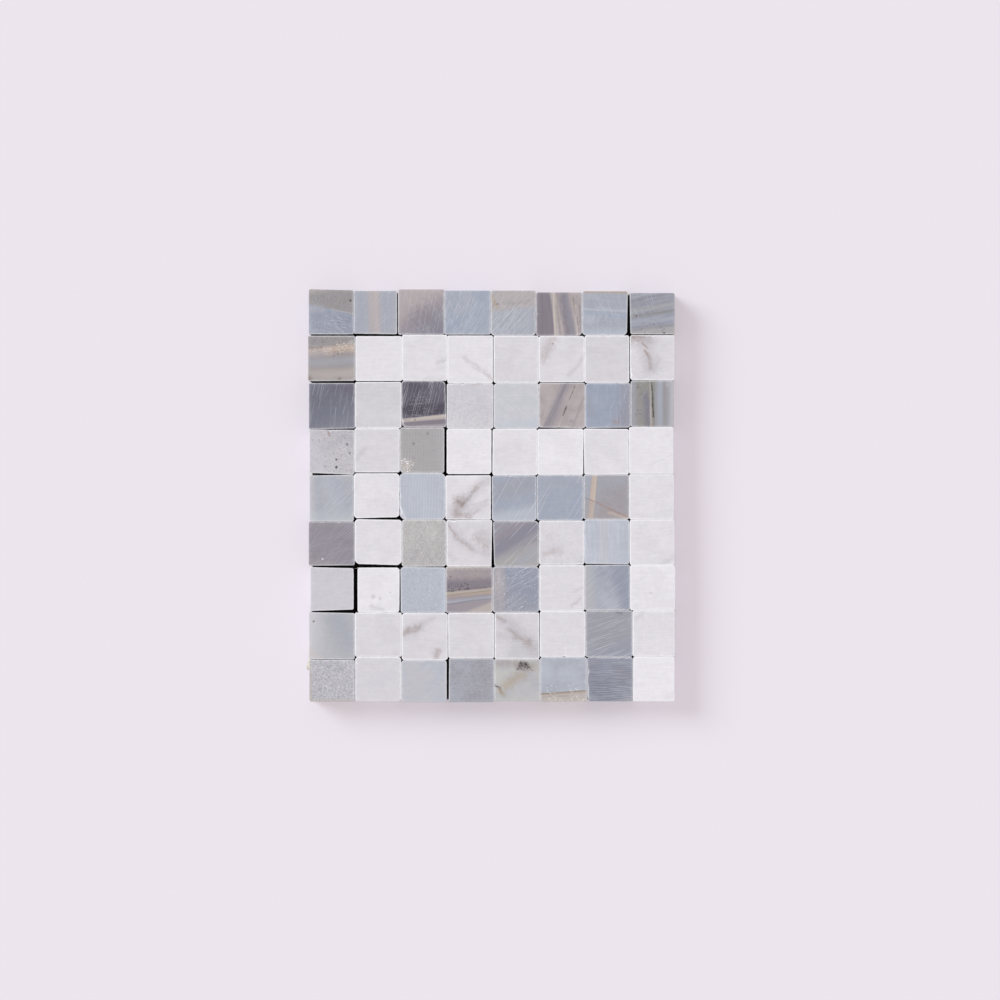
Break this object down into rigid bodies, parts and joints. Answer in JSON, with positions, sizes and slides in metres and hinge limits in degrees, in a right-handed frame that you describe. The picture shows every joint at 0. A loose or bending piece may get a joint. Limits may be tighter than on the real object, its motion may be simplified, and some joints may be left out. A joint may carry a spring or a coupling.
{
  "type": "marble border corner tile",
  "caption": "Rectangular corner of a mosaic border: small square marble stones laid in a Greek key of grey and white on an open net.",
  "frame": {"origin": "under the middle of the outline, where the net lies on the floor", "axes": "+X along the short edge, to the right in the picture; +Y along the long edge, up in the picture; +Z out of the face"},
  "size_m": [0.1232, 0.1374, 0.0099],
  "materials": {
    "grey_marble": "honed",
    "white_marble": "honed",
    "glass_fibre_net": "matt resin coating"
  },
  "bodies": {
    "root": {"row_1_grey_stones": "grey_marble", "row_2_grey_stones": "grey_marble", "row_3_grey_stones": "grey_marble", "row_4_grey_stones": "grey_marble", "row_5_grey_stones": "grey_marble", "row_6_grey_stones": "grey_marble", "row_7_grey_stones": "grey_marble", "row_8_grey_stones": "grey_marble", "row_9_grey_stones": "grey_marble", "row_2_white_stones": "white_marble", "row_3_white_stones": "white_marble", "row_4_white_stones": "white_marble", "row_5_white_stones": "white_marble", "row_6_white_stones": "white_marble", "row_7_white_stones": "white_marble", "row_8_white_stones": "white_marble", "row_9_white_stones": "white_marble", "net_upper_half": "glass_fibre_net", "net_lower_half": "glass_fibre_net"}
  },
  "joints": []
}
